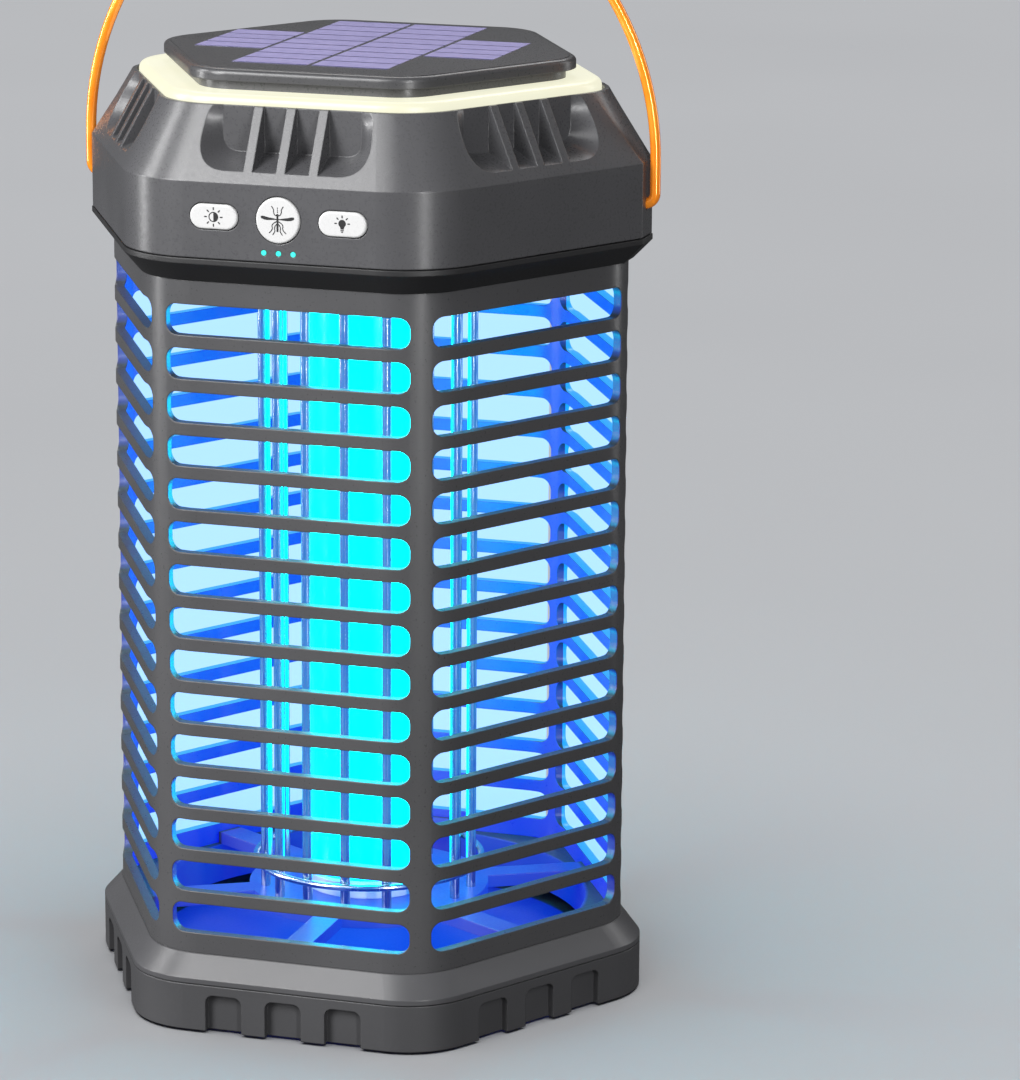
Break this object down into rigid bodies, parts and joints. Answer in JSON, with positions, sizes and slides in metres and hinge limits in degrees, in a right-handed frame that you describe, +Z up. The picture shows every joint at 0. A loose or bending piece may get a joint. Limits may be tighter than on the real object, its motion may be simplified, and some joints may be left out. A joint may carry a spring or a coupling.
{
  "type": "electric bug zapper",
  "caption": "Hexagonal solar lantern bug zapper with a slotted cage, ring light, push buttons, wire bail and twist-off insect tray.",
  "frame": {"origin": "centre of the base, on the plane the rubber feet stand on", "axes": "+Z up, -Y is the face with the three buttons, X joins the two bail pivots"},
  "size_m": [0.1324, 0.1147, 0.2673],
  "materials": {
    "body_plastic": "satin moulded dark grey ABS",
    "tray_plastic": "satin moulded dark grey ABS",
    "panel_plastic": "satin moulded dark grey ABS",
    "rubber_black": "matt silicone rubber",
    "white_plastic": "white reflector plastic",
    "circuit_board": "green solder mask",
    "led_chip": "yellow phosphor on a white package, emissive",
    "lamp_diffuser": "milky warm white diffuser, lit, emissive",
    "laminate": "clear epoxy over a dark back sheet",
    "solar_cell": "blue-violet silicon under epoxy",
    "button_white": "white moulded button with a black printed symbol",
    "indicator_teal": "clear light pipe, lit teal, emissive",
    "switch_black": "black moulding",
    "screw_steel": "zinc-plated",
    "capacitor_can": "blue epoxy-dipped film capacitor",
    "holder_plastic": "black moulding",
    "battery_wrap": "plain blue shrink wrap",
    "grid_plate_plastic": "satin moulded dark grey ABS",
    "grid_steel": "bright drawn wire",
    "uv_diffuser": "clear tube, lit blue-violet, emissive",
    "uv_chip": "violet emitter, emissive",
    "socket_steel": "tin-plated shell",
    "bail_wire": "glossy orange coated steel wire",
    "bush_brass": "turned"
  },
  "bodies": {
    "body": {"base_flange": "body_plastic", "cage": "body_plastic", "head_lower_ring": "body_plastic", "head_gasket": "rubber_black", "head_shell": "body_plastic", "lamp_reflector": "white_plastic", "lamp_led_board": "circuit_board", "lamp_leds": "led_chip", "lamp_lens": "lamp_diffuser", "panel_neck_lower": "body_plastic", "panel_neck_upper": "body_plastic", "panel_frame": "panel_plastic", "solar_laminate": "laminate", "solar_cells": "solar_cell", "indicator_light_pipes": "indicator_teal", "switch_board": "circuit_board", "tact_switches": "switch_black", "indicator_leds": "led_chip", "grid_top_plate": "body_plastic", "head_screws": "screw_steel", "main_board": "circuit_board", "hv_transformer": "switch_black", "hv_capacitors": "capacitor_can", "battery_holder": "holder_plastic", "battery_cells": "battery_wrap", "grid_base_plate": "grid_plate_plastic", "grid_rods_live": "grid_steel", "grid_rods_ground": "grid_steel", "grid_hoops": "grid_steel", "uv_tube": "uv_diffuser", "uv_tube_cap_lower": "white_plastic", "uv_tube_cap_upper": "white_plastic", "uv_board": "circuit_board", "uv_leds": "uv_chip", "usb_socket": "socket_steel", "bail_bushes": "bush_brass"},
    "bail": {"bail": "bail_wire"},
    "tray": {"tray": "tray_plastic", "rubber_feet": "rubber_black"},
    "button_power": {"button_power": "button_white"},
    "button_dimmer": {"button_dimmer": "button_white"},
    "button_lamp": {"button_lamp": "button_white"},
    "usb_cover": {"usb_cover": "rubber_black"}
  },
  "joints": [
    {"name": "bail_swing", "type": "hinge", "parent": "body", "child": "bail", "pos_m": [0, 0, 0.1781], "axis": [1, 0, 0], "range_deg": [-125, 125]},
    {"name": "button_power_press", "type": "slide", "parent": "body", "child": "button_power", "axis": [0, 1, 0], "range_m": [0, 0.0006], "stiffness_N_per_m": 1500, "springref_m": -0.0004},
    {"name": "button_dimmer_press", "type": "slide", "parent": "body", "child": "button_dimmer", "axis": [0, 1, 0], "range_m": [0, 0.0006], "stiffness_N_per_m": 1500, "springref_m": -0.0004},
    {"name": "button_lamp_press", "type": "slide", "parent": "body", "child": "button_lamp", "axis": [0, 1, 0], "range_m": [0, 0.0006], "stiffness_N_per_m": 1500, "springref_m": -0.0004},
    {"name": "tray_twist", "type": "hinge", "parent": "body", "child": "tray", "pos_m": [0, 0, 0.008], "axis": [0, 0, 1], "range_deg": [0, 15]},
    {"name": "usb_cover_hinge", "type": "hinge", "parent": "body", "child": "usb_cover", "pos_m": [0, 0.05625, 0.1766], "axis": [-1, 0, 0], "range_deg": [0, 95]}
  ]
}
